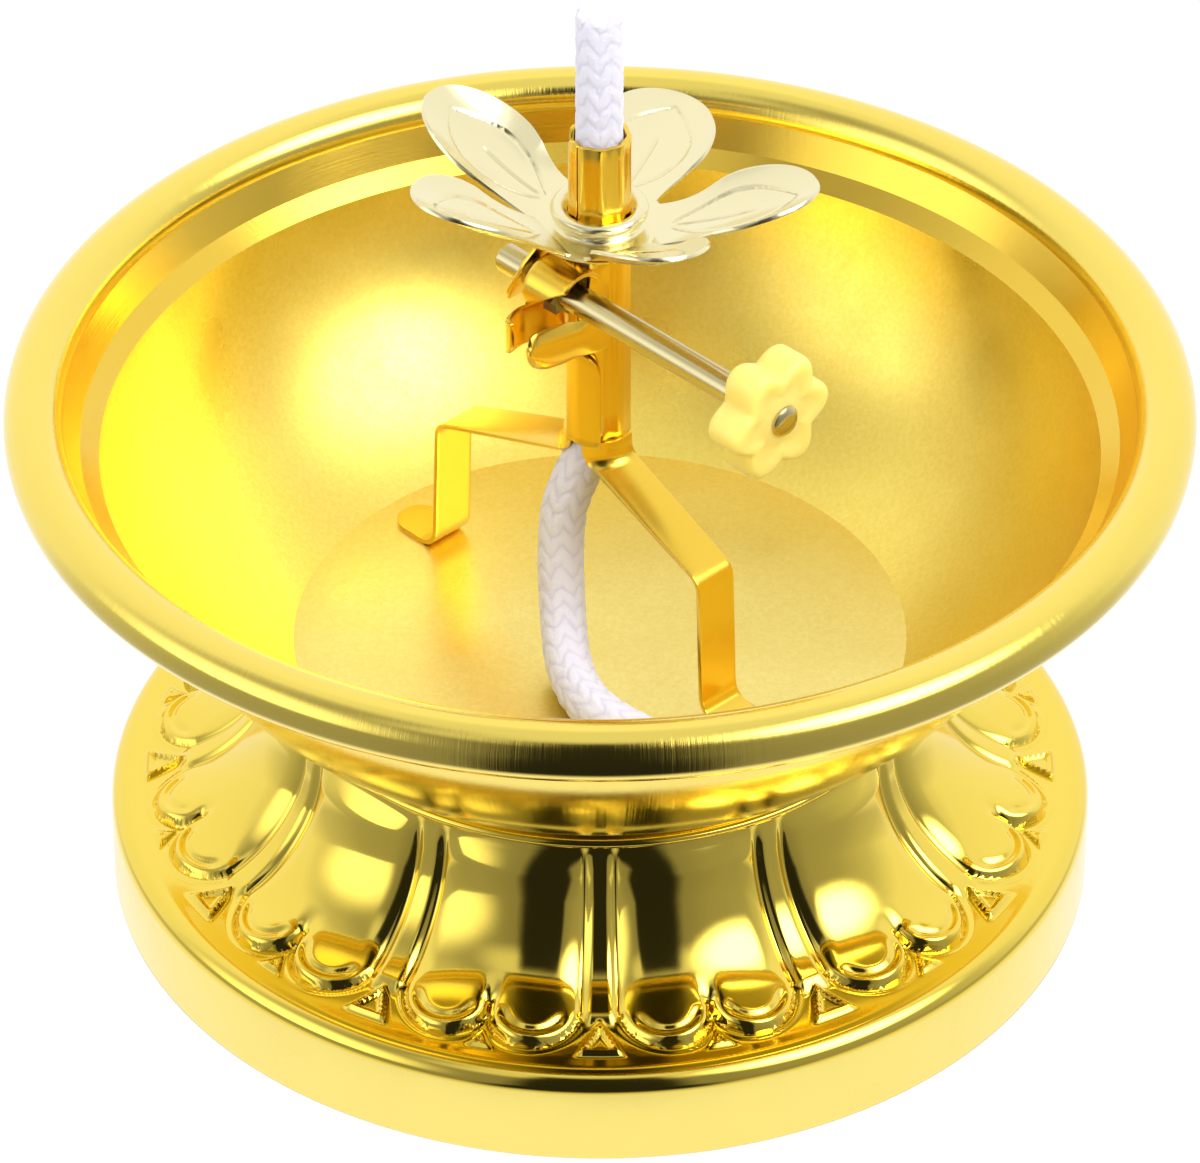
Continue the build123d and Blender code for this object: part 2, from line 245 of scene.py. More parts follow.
def gold(name, colour, roughness, grain_mm, grain_depth, lacquer=0.0):
    """Gold plate: a warm mirror with a fine grain, cloudy rubs and, where asked, clear lacquer."""
    material, tree, shader, place = new_material(name)
    grain = add(tree, "ShaderNodeTexNoise", {"Vector": place, "Scale": 1 / (grain_mm * MM), "Detail": 3.0})
    cloud = add(tree, "ShaderNodeTexNoise", {"Vector": place, "Scale": 1 / (9 * MM), "Detail": 4.0})
    rub = add(
        tree, "ShaderNodeMapRange",
        {"Value": cloud.outputs["Fac"], "From Min": 0.3, "From Max": 0.7,
         "To Min": roughness * 0.8, "To Max": roughness * 1.25},
    )
    tree.links.new(rub.outputs["Result"], shader.inputs["Roughness"])
    bump = {"Height": grain.outputs["Fac"], "Strength": 1.0, "Distance": grain_depth * MM}
    bump = add(tree, "ShaderNodeBump", bump)
    tree.links.new(bump.outputs["Normal"], shader.inputs["Normal"])
    shader.inputs["Base Color"].default_value = linear(colour)
    shader.inputs["Metallic"].default_value = 1.0
    shader.inputs["Coat Weight"].default_value = lacquer
    shader.inputs["Coat Roughness"].default_value = roughness
    return material, tree, shader, place


def brushed(tree, shader, place, squeeze, line_mm, depth):
    """Fine brush lines over the grain: noise squeezed along one way, set as the shader's relief."""
    lines = add(tree, "ShaderNodeMapping", {"Vector": place, "Scale": squeeze})
    hair = {"Vector": lines.outputs[0], "Scale": 1 / (line_mm * MM), "Detail": 2.0}
    hair = add(tree, "ShaderNodeTexNoise", hair)
    bump = {"Height": hair.outputs["Fac"], "Strength": 1.0, "Distance": depth * MM}
    bump = add(tree, "ShaderNodeBump", bump)
    tree.links.new(shader.inputs["Normal"].links[0].from_socket, bump.inputs["Normal"])
    tree.links.new(bump.outputs["Normal"], shader.inputs["Normal"])


# Polished plate mirrors the studio on the relief; the skirt's brush lines run round and spread the light.
foot_gold, tree, shader, place = gold("polished gold plate", "#F5D95E", 0.09, 1.6, 0.004)
skirt_gold, tree, shader, place = gold("brushed gold skirt", "#F9E276", 0.24, 0.8, 0.003, lacquer=0.6)
brushed(tree, shader, place, (0.01, 0.01, 1.0), 0.16, 0.0022)
lotus_foot.data.materials.append(foot_gold)
lotus_foot.data.materials.append(skirt_gold)
for face in lotus_foot.data.polygons:
    out = math.hypot(face.center.x, face.center.y)
    if face.center.z < (skirt_z + 0.1) * MM and out > (base_radius - 0.1) * MM:
        face.material_index = 1
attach(lotus_foot, "lamp")
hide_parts("foot_shell")

# Bowl. Spun from one sheet: flat floor, round wall, a narrow ledge and a steep band, then the edge rolled
# outward into a bead. Satin gold inside, polished on the lip, the bead and outside.
floor_z = 23.2
floor_radius = 26.2
wall_round = 31.0
wall_top = (42.1, 43.3)
ledge_top = (43.65, 44.6)
crease = (45.0, 47.1)
bead_radius = 2.49
bowl_sheet = 0.6
bead_middle = (crease[0] + bead_radius, crease[1])

floor_edge = np.array((floor_radius, floor_z))
chord = np.array(wall_top) - floor_edge
half_chord = np.hypot(*chord) / 2
lift = math.sqrt(wall_round ** 2 - half_chord ** 2)
inward = np.array((-chord[1], chord[0])) / (2 * half_chord)
wall_middle = floor_edge + chord / 2 + lift * inward
wall_low = math.degrees(math.atan2(floor_z - wall_middle[1], floor_radius - wall_middle[0]))
wall_high = math.degrees(math.atan2(wall_top[1] - wall_middle[1], wall_top[0] - wall_middle[0]))
inside_line = (
    line((0, floor_z), (floor_radius - 0.3, floor_z), 6)
    + arc(wall_middle, wall_round, wall_low, wall_high, 46)
    + [ledge_top, crease]
)
bead_line = arc(bead_middle, bead_radius, 176, -142, 60)
outside_line = (
    [(45.55, 45.2), (44.75, 44.35), (44.1, 43.9)]
    + arc(wall_middle, wall_round + bowl_sheet, wall_high, wall_low, 36)
    + [(floor_radius - 0.6, floor_z - bowl_sheet), (0, floor_z - bowl_sheet)]
)
spun_bowl = turned("spun_bowl", inside_line + bead_line + outside_line, 320)
bpy.ops.object.shade_smooth_by_angle(angle=math.radians(19))

# The bead shows fine marks across it, left where the rolling tool and hands rubbed the plate: 160 to the
# rim's radius, about 0.3 mm each, in patches of about 12 mm.
bowl_polished, tree, shader, place = gold("polished gold rim", "#F8DE66", 0.13, 1.2, 0.004, lacquer=0.4)
level = add(tree, "ShaderNodeVectorMath", {0: place, 1: (1, 1, 0)}, operation="MULTIPLY")
level = add(tree, "ShaderNodeVectorMath", {0: level.outputs[0]}, operation="NORMALIZE")
ticks = {"Vector": level.outputs[0], "Scale": 160.0, "Detail": 4.0, "Roughness": 0.8}
ticks = add(tree, "ShaderNodeTexNoise", ticks)
patches = add(tree, "ShaderNodeTexNoise", {"Vector": level.outputs[0], "Scale": 4.0, "Detail": 2.0})
marks = {0: ticks.outputs["Fac"], 1: patches.outputs["Fac"]}
marks = add(tree, "ShaderNodeMath", marks, operation="MULTIPLY")
scratch = add(tree, "ShaderNodeBump", {"Height": marks.outputs[0], "Strength": 1.0, "Distance": 0.03 * MM})
tree.links.new(shader.inputs["Normal"].links[0].from_socket, scratch.inputs["Normal"])
tree.links.new(scratch.outputs["Normal"], shader.inputs["Normal"])

# The satin inside spreads the lamps into wide soft glows; the flat floor gets a paler colour than the wall,
# a painted lightening for the brighter light it catches. The ledge and band are burnished by the tool.
satin = []
for name, low_colour, high_colour in (
    ("satin gold wall", "#FADC60", "#FFE572"), ("satin gold floor painted paler", "#F3DD7C", "#F9E68A"),
):
    material, tree, shader, place = gold(name, high_colour, 0.32, 0.5, 0.0008, lacquer=0.25)
    sand = {"Vector": place, "Scale": 1 / (0.45 * MM), "Detail": 2.0, "Roughness": 0.8}
    sand = add(tree, "ShaderNodeTexNoise", sand)
    sand = {"Value": sand.outputs["Fac"], "From Min": 0.35, "From Max": 0.65}
    sand = add(tree, "ShaderNodeMapRange", sand)
    speck = {"Factor": sand.outputs[0], 6: linear(low_colour), 7: linear(high_colour)}
    speck = add(tree, "ShaderNodeMix", speck, data_type="RGBA")
    tree.links.new(speck.outputs[2], shader.inputs["Base Color"])
    satin.append(material)
bowl_lip, tree, shader, place = gold("burnished gold lip", "#F1CB4E", 0.2, 0.5, 0.006)
brushed(tree, shader, place, (0.02, 0.02, 1.0), 0.15, 0.004)
for material in (bowl_polished, *satin, bowl_lip):
    spun_bowl.data.materials.append(material)
for face in spun_bowl.data.polygons:
    spot = face.center / MM
    out = math.hypot(spot.x, spot.y)
    from_middle = math.hypot(out - wall_middle[0], spot.z - wall_middle[1])
    if floor_z - 0.2 < spot.z < wall_top[1] and from_middle < wall_round + 0.2:
        face.material_index = 2 if spot.z < floor_z + 0.01 else 1
    elif spot.z >= wall_top[1] and out < crease[0] - 0.03 and face.normal.z > 0:
        face.material_index = 3
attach(spun_bowl, "lamp")
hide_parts("bowl")

# Burner stand. Folded from one strip of thin brass: a rolled tube with an open seam, a lap round its lower
# end, two bent legs, a hood and cheeks that carry the feed rod, and two claws below them.
burner_x, burner_y = -0.05, 1.2
burner_turn = math.radians(-46.0)
tube_wall = 0.4
tube_outer = 2.65
tube_bottom = 43.9
tube_top = 73.5
rod_side = -4.3
rod_z = 60.0
burner_place = Matrix.Translation((burner_x * MM, burner_y * MM, 0)) @ Matrix.Rotation(burner_turn, 4, "Z")


def finish_sheet(piece, thickness, bevel, smooth=35):
    """Give a bent sheet its thickness to the inside and break its edges."""
    for kind, settings in (
        ("SOLIDIFY", {"thickness": thickness * MM, "offset": -1.0}),
        ("BEVEL", {"width": bevel * MM, "segments": 2, "limit_method": "ANGLE",
                   "angle_limit": math.radians(50)}),
    ):
        modifier = piece.modifiers.new(kind.lower(), kind)
        for key, value in settings.items():
            setattr(modifier, key, value)
        bpy.ops.object.modifier_apply(modifier=modifier.name)
    bpy.ops.object.shade_smooth_by_angle(angle=math.radians(smooth))


def sheet_grid(name, columns):
    """Open sheet through columns of points, all of the same length."""
    count = len(columns[0])
    points = [point for column in columns for point in column]
    faces = []
    for index in range(len(columns) - 1):
        for row in range(count - 1):
            corner = index * count + row
            faces.append((corner, corner + count, corner + count + 1, corner + 1))
    return mesh_piece(name, points, faces=faces)


def join(pieces, name):
    """Join pieces into the first one and give it a name."""
    bpy.ops.object.select_all(action="DESELECT")
    for piece in pieces:
        piece.select_set(True)
    bpy.context.view_layer.objects.active = pieces[0]
    bpy.ops.object.join()
    pieces[0].name = name
    return pieces[0]


def rounded(path, radii, count=8):
    """Path of straight runs with each corner rounded by its own radius."""
    points = [np.array(point, dtype=float) for point in path]
    out = [points[0]]
    for before, corner, after, radius in zip(points, points[1:], points[2:], radii):
        back = (before - corner) / np.linalg.norm(before - corner)
        ahead = (after - corner) / np.linalg.norm(after - corner)
        half = math.acos(np.clip(np.dot(back, ahead), -1, 1)) / 2
        start = corner + back * radius / math.tan(half)
        end = corner + ahead * radius / math.tan(half)
        for part in np.linspace(0, 1, count):
            out.append((1 - part) ** 2 * start + 2 * part * (1 - part) * corner + part ** 2 * end)
    out.append(points[-1])
    return out


# The tube is rolled with hand tools, so it has soft flats; the seam stays open above the feed rod.
flats = 9
flat_depth = 0.06
seam_half = 2.7
window_low, window_high = 58, 62.2
rim_notch, seam_notch = (0.9, 225, 16), (0.25, 268, 6)
tube_columns = []
for degrees in np.linspace(-90 + seam_half, 270 - seam_half, 145):
    theta = math.radians(degrees)
    out = tube_outer - flat_depth + flat_depth * math.cos(flats * theta)
    notch = sum(deep * bell(degrees, middle, width) for deep, middle, width in (rim_notch, seam_notch))
    heights = [tube_bottom, 47, 50, 53, 56, window_low, window_high, 66, 70, 72.0, tube_top - notch]
    tube_columns.append([(out * math.cos(theta), out * math.sin(theta), z) for z in heights])
tube = sheet_grid("tube", tube_columns)
mesh = bmesh.new()
mesh.from_mesh(tube.data)
window = []
for face in mesh.faces:
    spot = face.calc_center_median() / MM
    if spot.y < -2.2 and window_low < spot.z < window_high and abs(spot.x) < 1.2:
        window.append(face)
bmesh.ops.delete(mesh, geom=window, context="FACES")
mesh.to_mesh(tube.data)
mesh.free()
finish_sheet(tube, tube_wall, 0.08)
stand_pieces = [tube]

# Below the rod the seam's edges meet under a lap with one rounded corner.
lap_height = 9.2
lap_round = 2.4
round_from, round_span = -72, 30
lap_columns = []
for degrees in np.linspace(-110, -42, 41):
    theta = math.radians(degrees)
    out = tube_outer + tube_wall
    past_corner = max(0.0, (degrees - round_from) / round_span)
    corner = lap_round * (1 - math.sqrt(max(0.0, 1 - past_corner ** 2)))
    lap_columns.append(
        [(out * math.cos(theta), out * math.sin(theta), z)
         for z in np.linspace(tube_bottom, tube_bottom + lap_height - corner, 12)]
    )
lap = sheet_grid("lap", lap_columns)
finish_sheet(lap, tube_wall, 0.08)
stand_pieces.append(lap)


def leg(name, reach, foot_length, turned_round):
    """Leg strip: root on the tube, sloping arm, shank and a foot with a rounded end on the bowl floor."""
    width = 4.0
    shift = -0.9
    foot_round = 2.0
    arm_drop = 5.6
    bends = (1.6, 1.9, 1.8)
    root_z = tube_bottom - 1.4
    foot_top = floor_z + tube_wall
    root_x = tube_outer + tube_wall
    path = rounded(
        [
            (root_x - 0.05, tube_bottom + 0.5),
            (root_x, root_z),
            (reach, root_z - arm_drop),
            (reach + 0.5, foot_top),
            (reach + foot_length - foot_round, foot_top),
        ],
        bends,
    )
    widths = [width / 2] * len(path)
    for angle in np.radians(np.linspace(8, 88, 12)):
        path.append(np.array((reach + foot_length - foot_round + foot_round * math.sin(angle), foot_top)))
        widths.append(width / 2 * math.cos(angle))
    turned_x = -1 if turned_round else 1
    columns = []
    for (x, z), half in zip(path, widths):
        hug = 1 - ramp(x, root_x, root_x + 3.5)
        column = []
        for y in shift + half * turned_x * np.linspace(-1, 1, 17):
            round_tube = root_x - math.sqrt(root_x ** 2 - y ** 2)
            column.append((turned_x * (x - hug * round_tube), y, z))
        columns.append(column)
    piece = sheet_grid(name, columns)
    finish_sheet(piece, tube_wall, 0.06)
    return piece


stand_pieces.append(leg("front_leg", 15.0, 4.8, False))
stand_pieces.append(leg("back_leg", 17.3, 6.2, True))

# Hood: curls over the feed rod from the tube, cut on a slant towards the knob.
hood_radius = 2.65
hood_near, hood_far = -2.0, 2.4
hood_start, hood_end, hood_slant = 30, 212, 72
hood_columns = []
for part in np.linspace(0, 1, 41):
    column = []
    for x in np.linspace(hood_near, hood_far, 13):
        end = hood_end - hood_slant * (x - hood_near) / (hood_far - hood_near)
        theta = math.radians(hood_start + (end - hood_start) * part)
        column.append((x, rod_side + hood_radius * math.cos(theta), rod_z + hood_radius * math.sin(theta)))
    hood_columns.append(column)
hood = sheet_grid("hood", hood_columns)
finish_sheet(hood, tube_wall, 0.07, smooth=60)
stand_pieces.append(hood)


def plate(name, outline, start):
    """Flat ear square to the feed rod, from an outline of (sideways, height) points."""
    points = [(start, y, z) for y, z in outline]
    piece = mesh_piece(name, points, faces=[tuple(range(len(points)))])
    if piece.data.polygons[0].normal.x < 0:
        piece.data.flip_normals()
    finish_sheet(piece, tube_wall, 0.06)
    return piece


ear_x = 2.3
ear_root = -1.0
cheek_top = 63.3
cheek_lean = 0.34
rear_outline = [
    (ear_root, 58.1), (ear_root, cheek_top), (-5.0, cheek_top), (-5.9, 62.0), (-6.7, 59.0), (-6.5, 58.1),
]
rear_cheek = plate("rear_cheek", rear_outline, 0.0)
places = coordinates(rear_cheek)
places[:, 0] -= ear_x + cheek_lean * (cheek_top - places[:, 2])
move_to(rear_cheek, places)
stand_pieces.append(rear_cheek)
front_outline = [(ear_root, 58.6), (ear_root, 63.0), (-3.0, 63.0), (-3.4, 60.9), (-3.1, 58.9)]
stand_pieces.append(plate("front_cheek", front_outline, ear_x))

# Claws: two ears bent out below the hood, the front one a broad round-ended spoon, the rear one a trough.
claw_length = 9.09
claw_bulge = 0.55
claw_low = [
    (-10.1, 57.2), (-9.9, 56.3), (-9.4, 55.5), (-8.6, 54.9), (-7.6, 54.5), (-6.0, 54.2), (ear_root, 53.9),
]
claw_high = [
    (-10.1, 57.2), (-10.0, 58.0), (-9.6, 58.5), (-9.0, 58.7), (-7.2, 58.5), (-5.4, 58.1), (ear_root, 56.7),
]
claw_columns = []
for y in ear_root - claw_length * np.sin(np.linspace(0, math.pi / 2, 33)):
    low = np.interp(y, *zip(*claw_low))
    high = np.interp(y, *zip(*claw_high))
    bulge = claw_bulge * ramp(-y, 2.0, 5.0)
    across = np.linspace(-1, 1, 13)
    claw_columns.append(
        [(ear_x - bulge * part ** 2, y, (low + high + (high - low) * part) / 2) for part in across]
    )
front_claw = sheet_grid("front_claw", claw_columns)
if front_claw.data.polygons[0].normal.x < 0:
    front_claw.data.flip_normals()
finish_sheet(front_claw, tube_wall, 0.06, smooth=50)
stand_pieces.append(front_claw)

# The trough runs out along the rear ear, rises slowly and curls in at its rounded end.
trough_x = -2.4
trough_start = -2.0
trough_length = 7.0
trough_rise = 0.16
curl_in, curl_out = 2.0, 0.9
trough_columns = []
for part in np.linspace(0, 1, 37):
    curl = max(0.0, 2 * part - 1)
    bend = math.sin(curl * math.pi / 2)
    x = trough_x + curl_in * bend ** 1.5
    y = trough_start - trough_length * min(1.0, part * 1.35) - curl_out * bend
    rise = trough_rise * (trough_start - y)
    low = 54.0 + rise + 1.5 * curl ** 2
    high = 57.6 + rise + 0.4 * curl - 0.5 * curl ** 4
    trough_columns.append([(x, y, z) for z in np.linspace(low, high, 13)])
trough = sheet_grid("trough", trough_columns)
finish_sheet(trough, tube_wall, 0.06, smooth=50)
stand_pieces.append(trough)

# Warm polished brass, yellower than the plated bowl, with slight rubs from folding.
folded_stand = join(stand_pieces, "folded_stand")
folded_stand.data.transform(burner_place)
stand_gold, tree, shader, place = gold("polished brass strip", "#F6CD42", 0.2, 0.9, 0.003, lacquer=0.5)
folded_stand.data.materials.append(stand_gold)
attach(folded_stand, "burner")
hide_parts("wick_stand")

# Flower collar. Stamped from thin pale brass: a flanged sleeve pushed on the tube and five petals bent up
# by hand, each by its own amount, with a teardrop line and a vein pressed into it.
collar_z = 64.4
collar_sheet = 0.35
hub_radius = 5.8
petal_root = 4.2
petal_length = 14.65
petal_half = 4.73
petal_belly = 0.54
petal_top = collar_z + collar_sheet - 0.08
hub_line = (
    [(2.66, collar_z + 0.2), (2.66, collar_z + 1.75)]
    + arc((3.5, collar_z + 1.75), 0.6, 150, 10, 12)
    + arc((3.75, collar_z + 1.6), 0.3, 0, -80, 5)
    + arc((3.95, collar_z + 0.95), 0.6, 140, 262, 10)
    + [(4.6, collar_z + collar_sheet), (hub_radius - 0.1, collar_z + collar_sheet)]
    + [(hub_radius, collar_z + 0.25), (hub_radius, collar_z + 0.1), (hub_radius - 0.1, collar_z)]
    + [(3.0, collar_z), (2.66, collar_z + 0.2)]
)
hub = turned("hub", hub_line, 120)
bpy.ops.object.shade_smooth_by_angle(angle=math.radians(40))
flower_pieces = [hub]

part = np.concatenate([np.linspace(0, 0.86, 76), 0.86 + 0.14 * np.sin(np.linspace(0.03, math.pi / 2, 22))])
share = np.linspace(-1, 1, 57)
belly = np.minimum(1, part / petal_belly)
swell = 0.66 + 0.34 * np.sin(belly * math.pi / 2) ** 3.12
tip = np.sqrt(np.clip(1 - np.maximum(0, (part - petal_belly) / (1 - petal_belly)) ** 2, 0, 1))
half = np.maximum(0.05, petal_half * swell * tip)
across = half[:, None] * share[None, :]
length_part = part[:, None] + 0 * across
drop_part = np.clip((length_part - 0.1) / 0.78, 0, 1)
drop_half = 0.62 * petal_half * np.sin(math.pi * drop_part ** 1.15) ** 0.8
drop_ends = ramp(length_part, 0.1, 0.16) * (1 - ramp(length_part, 0.86, 0.9))
pressed = bell(np.abs(across), drop_half, 0.13) * drop_ends
vein = bell(across, 0, 0.12) * ramp(length_part, 0.12, 0.2) * (1 - ramp(length_part, 0.58, 0.66))
pressed = np.maximum(pressed, vein)
press_depth = 0.17
cup_height = 1.73
for turn, rise, sag, roll in (
    (-5.3, 19.2, 0.89, -3.3), (67.8, 5.5, 0.54, 8.6), (142.2, 25.4, 1.33, 6.0), (208.0, 31.0, 0.33, 1.0),
    (291.2, 30.0, 0.56, -6.4),
):
    out = petal_root + petal_length * length_part * math.cos(math.radians(rise))
    up = petal_top + petal_length * length_part * math.sin(math.radians(rise))
    up -= 4 * sag * length_part * (1 - length_part)
    up += cup_height * (across / 5.0) ** 2 * np.minimum(1, length_part / 0.4)
    up += across * math.sin(math.radians(roll)) * np.minimum(1, length_part / 0.3)
    points = np.stack([out, across, up - press_depth * pressed], axis=2)
    petal = sheet_grid("petal", [[tuple(point) for point in column] for column in points])
    petal.data.transform(Matrix.Rotation(math.radians(turn), 4, "Z"))
    finish_sheet(petal, collar_sheet, 0.05, smooth=60)
    flower_pieces.append(petal)

# Pale champagne brass with a soft brushed sheen.
flower = join(flower_pieces, "flower")
flower.data.transform(Matrix.Translation((burner_x * MM, burner_y * MM, 0)))
flower_brass, tree, shader, place = gold("pale brushed brass", "#F2E8BC", 0.22, 0.5, 0.004, lacquer=0.2)
brushed(tree, shader, place, (1.0, 0.06, 0.06), 0.12, 0.003)
flower.data.materials.append(flower_brass)
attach(flower, "burner")
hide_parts("flower_collar")

# Feed rod. Drawn steel rod with a thin pale plating, peened over on the outside of the knob.
rod_radius = 1.25
knob_start = 22.4
knob_end = 26.0
rod_start = -6.9
rod_line = [
    (0, rod_start), (1.05, rod_start), (rod_radius, rod_start + 0.2), (rod_radius, -2.0), (rod_radius, 8.0),
    (rod_radius, knob_end), (1.35, knob_end), (1.34, knob_end + 0.2), (1.1, knob_end + 0.42),
    (0.6, knob_end + 0.5), (0, knob_end + 0.46),
]
lying = Matrix.Rotation(math.pi / 2, 4, "Y")
rod_way = burner_place @ Matrix.Translation((0, rod_side * MM, rod_z * MM)) @ lying
feed_rod = turned("feed_rod", rod_line, 64)
bpy.ops.object.shade_smooth_by_angle(angle=math.radians(40))
feed_rod.data.transform(rod_way)
rod_steel, tree, shader, place = gold("plated steel rod", "#D2C697", 0.22, 0.3, 0.002)
feed_rod.data.materials.append(rod_steel)
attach(feed_rod, "feed")
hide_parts("spindle")

# Star wheel. Small steel wheel on the rod under the hood; its points bite the wick.
wheel_steel, tree, shader, place = gold("plain steel wheel", "#A39B86", 0.35, 0.4, 0.006)
wheel = bpy.data.objects["feed_wheel"]
wheel.data.materials.clear()
wheel.data.materials.append(wheel_steel)

# Knob. Moulded from translucent pale yellow plastic with six soft lobes, pressed on the rod.
knob_radius = 5.5
knob_round = 0.75
knob_lobes = 6
lobe_depth = 1.3
dish_z = knob_end - 0.2
columns = []
for degrees in np.linspace(0, 360, 169):
    theta = math.radians(degrees)
    lobe = 0.5 - 0.5 * math.cos(knob_lobes * theta)
    outer = knob_radius - lobe_depth * (1 - lobe ** 0.72)
    low_edge = arc((outer - knob_round, knob_start + knob_round), knob_round, -90, 0, 7)
    high_edge = arc((outer - knob_round, knob_end - knob_round), knob_round, 0, 90, 7)
    dish = [(outer - 1.6, knob_end - 0.05), (outer - 2.0, dish_z), (2.2, dish_z), (1.7, knob_end)]
    ring = [(rod_radius, knob_start)] + low_edge + high_edge + dish + [(rod_radius, knob_end)]
    columns.append([(reach * math.cos(theta), reach * math.sin(theta), height) for reach, height in ring])
lobed_knob = sheet_grid("lobed_knob", columns)
bpy.ops.object.mode_set(mode="EDIT")
bpy.ops.mesh.select_all(action="SELECT")
bpy.ops.mesh.remove_doubles(threshold=1e-6)
bpy.ops.mesh.normals_make_consistent(inside=False)
bpy.ops.object.mode_set(mode="OBJECT")
bpy.ops.object.shade_smooth_by_angle(angle=math.radians(40))
lobed_knob.data.transform(rod_way)

# Light enters the plastic and softens every edge; the skin is faintly uneven from the mould.
knob_plastic, tree, shader, place = new_material("translucent moulded plastic")
shader.inputs["Base Color"].default_value = linear("#F0DB76")
shader.inputs["Roughness"].default_value = 0.32
shader.inputs["IOR"].default_value = 1.5
shader.inputs["Subsurface Weight"].default_value = 0.7
shader.inputs["Subsurface Radius"].default_value = (1.0, 0.85, 0.4)
shader.inputs["Subsurface Scale"].default_value = 0.003
cloud = add(tree, "ShaderNodeTexNoise", {"Vector": place, "Scale": 1 / (1.5 * MM), "Detail": 3.0})
bump = add(tree, "ShaderNodeBump", {"Height": cloud.outputs["Fac"], "Strength": 1.0, "Distance": 0.03 * MM})
tree.links.new(bump.outputs["Normal"], shader.inputs["Normal"])
lobed_knob.data.materials.append(knob_plastic)
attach(lobed_knob, "feed")
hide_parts("knob")

# Wick. Braided from soft white cotton yarns; the straight stretch stands in the tube, and its free end
# hangs below the tube and lies on the bowl floor towards the front.
wick_radius = 2.1
wick_bottom = 43.2
stem_start = 48.6
wick_top = 85.7
lying_z = 25.4
tail_route = [
    (burner_x, burner_y, wick_bottom), (-2.9, 0.4, 38.3), (-3.4, -0.6, 32.6), (-3.2, -3.2, 27.8),
    (-2.7, -8.4, lying_z), (-0.6, -14.2, lying_z), (5.2, -19.2, lying_z), (12.0, -20.4, lying_z),
    (16.6, -17.2, lying_z),
]
guide = bpy.data.curves.new("guide", "CURVE")
guide.dimensions = "3D"
spline = guide.splines.new("NURBS")
spline.points.add(len(tail_route) - 1)
for point, spot in zip(spline.points, tail_route):
    point.co = (*(MM * value for value in spot), 1.0)
spline.order_u = 3
spline.use_endpoint_u = True
spline.resolution_u = 24
guide_object = bpy.data.objects.new("guide", guide)
bpy.context.collection.objects.link(guide_object)
bpy.context.view_layer.update()
guide_shown = guide_object.evaluated_get(bpy.context.evaluated_depsgraph_get())
guide_mesh = bpy.data.meshes.new_from_object(guide_shown)

# The free end's piece begins inside the tube, so the part that stretches as the wick is wound stays hidden.
in_tube = np.linspace(stem_start, wick_bottom, 12)[:-1]
tail_path = [Vector((burner_x * MM, burner_y * MM, z * MM)) for z in in_tube]
tail_path += [vertex.co.copy() for vertex in guide_mesh.vertices]
bpy.data.objects.remove(guide_object)
bpy.data.meshes.remove(guide_mesh)


def braid(name, path, start):
    """Round braid along a path of points in metres; start is the length along the wick where it begins."""
    ring_step = 0.13
    around = 96
    rows_of_yarn = 12
    stitch = 1.9
    core_radius = wick_radius - 0.24
    yarn_height = 0.14
    fuzz_height = 0.022
    end_round = 0.7
    spots = np.array([tuple(point) for point in path]) / MM
    lengths = np.concatenate([[0], np.cumsum(np.linalg.norm(np.diff(spots, axis=0), axis=1))])
    even = np.linspace(0, lengths[-1], int(lengths[-1] / ring_step))
    middle = np.stack([np.interp(even, lengths, spots[:, axis]) for axis in range(3)], axis=1)
    ways = np.gradient(middle, axis=0)
    ways /= np.linalg.norm(ways, axis=1)[:, None]
    sides = []
    side_way = np.array((1.0, 0.0, 0.0))
    for way in ways:
        side_way = side_way - way * np.dot(side_way, way)
        side_way = side_way / np.linalg.norm(side_way)
        sides.append(side_way)
    sides = np.array(sides)
    others = np.cross(ways, sides)

    theta = 2 * math.pi * np.arange(around) / around
    place_in_row = rows_of_yarn * np.arange(around) / around
    row = np.floor(place_in_row)
    share = place_in_row - row
    lean = np.where(row % 2 == 0, share, 1 - share)
    far = (even + start)[:, None]
    stray = 0.09 * np.sin(2.7 * far + 5 * theta[None, :]) + 0.07 * np.sin(1.1 * far - 3 * theta[None, :])
    wave = np.abs(np.sin(math.pi * (far / stitch + 0.65 * lean[None, :] + stray)))
    body = wave ** 0.55 * (0.6 + 0.4 * np.sqrt(np.sin(math.pi * np.clip(share, 0.02, 0.98))))[None, :]
    end_part = np.clip((even - lengths[-1] + end_round) / end_round, 0, 1)
    fuzz = np.random.default_rng(7).normal(0, fuzz_height, body.shape)
    out = (core_radius + yarn_height * body + fuzz) * np.sqrt(1 - 0.45 * end_part ** 2)[:, None]
    rings = middle[:, None, :] + out[:, :, None] * (
        sides[:, None, :] * np.cos(theta)[None, :, None] + others[:, None, :] * np.sin(theta)[None, :, None]
    )
    points = [tuple(point) for point in rings.reshape(-1, 3)] + [tuple(middle[0]), tuple(middle[-1])]
    faces = []
    for ring in range(len(even) - 1):
        for index in range(around):
            after = (index + 1) % around
            low = ring * around
            high = low + around
            faces.append((low + index, low + after, high + after, high + index))
    last = (len(even) - 1) * around
    for index in range(around):
        after = (index + 1) % around
        faces.append((len(points) - 2, after, index))
        faces.append((len(points) - 1, last + index, last + after))
    piece = mesh_piece(name, points, faces=faces)
    # The yarn bulge is kept on the points, so the cotton can paint shade into the dips between the yarns.
    values = np.concatenate([body.ravel(), [0.8, 0.8]])
    piece.data.attributes.new("yarn_bulge_for_painted_shade", "FLOAT", "POINT").data.foreach_set("value", values)
    bpy.ops.object.shade_smooth()
    return piece
